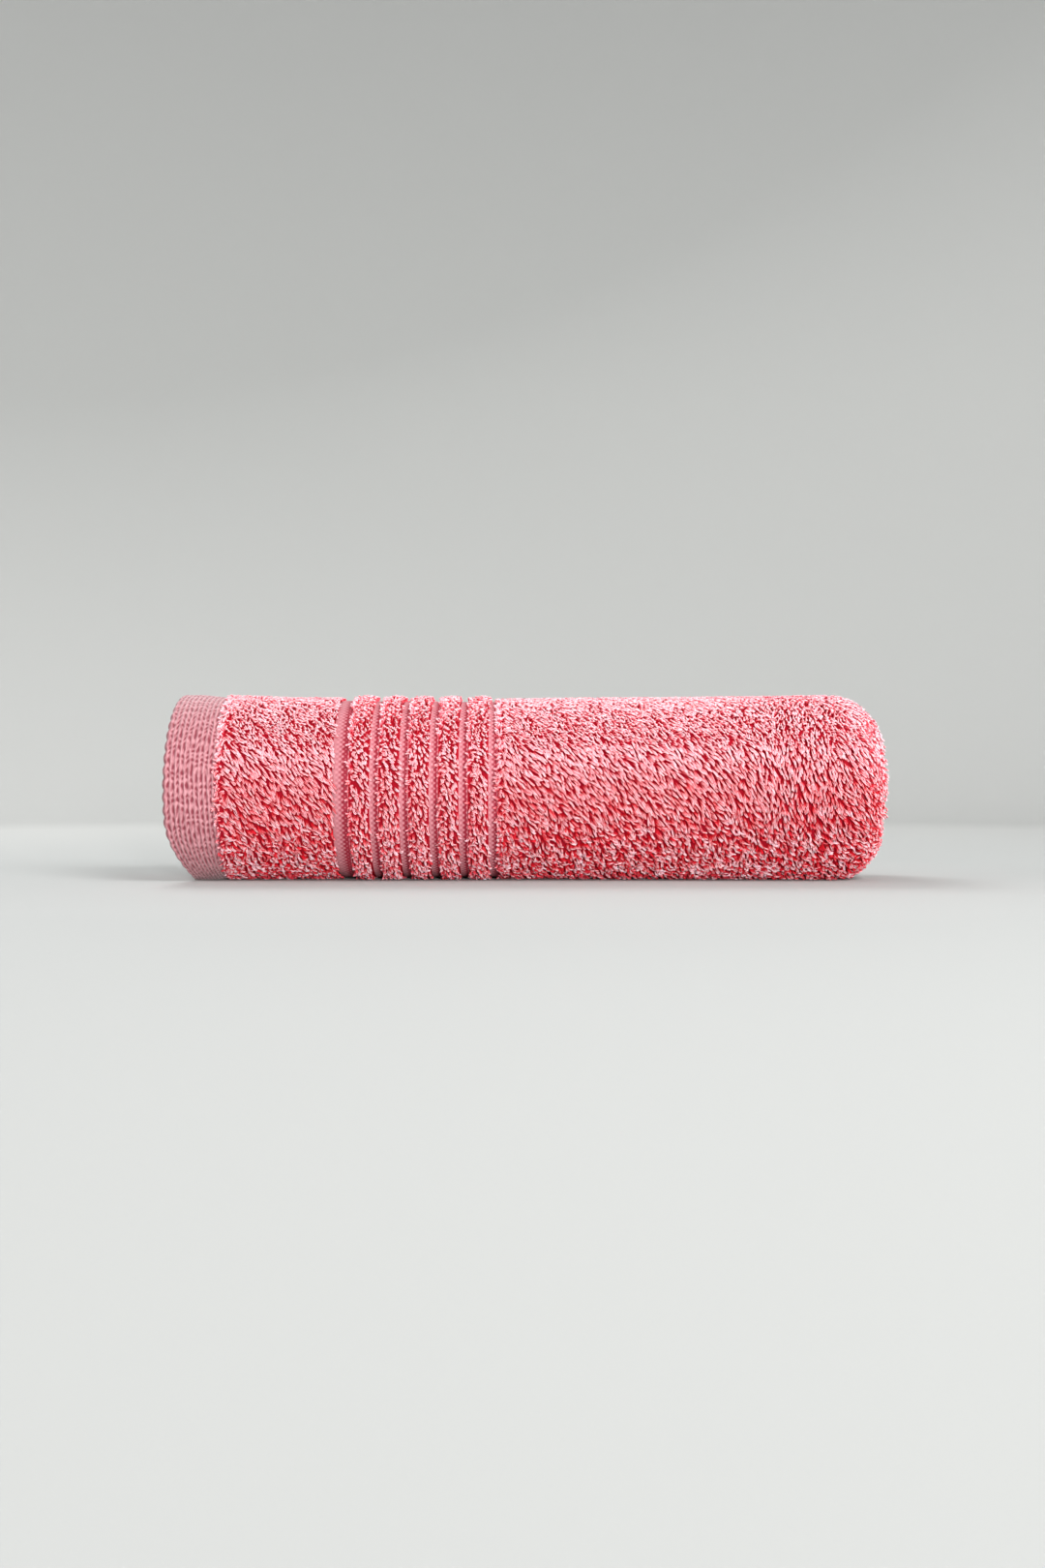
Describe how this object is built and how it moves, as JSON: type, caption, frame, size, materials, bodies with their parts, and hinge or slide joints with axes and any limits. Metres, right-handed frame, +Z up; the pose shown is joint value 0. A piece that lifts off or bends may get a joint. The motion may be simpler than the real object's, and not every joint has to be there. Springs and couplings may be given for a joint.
{
  "type": "rolled hand towel",
  "caption": "Terry hand towel folded in three and wound into a roll, with flat hems and raised terry ribs across a woven border.",
  "frame": {"origin": "middle of the underside, on the surface that the roll rests on", "axes": "+X along the roll from the hem end to the folded end, +Y to the back where the loose end is tucked under, +Z up"},
  "size_m": [0.305, 0.0918, 0.0809],
  "materials": {
    "terry_cloth": "matt rose cotton terry"
  },
  "bodies": {
    "root": {"rolled_towel": "terry_cloth"}
  },
  "joints": []
}
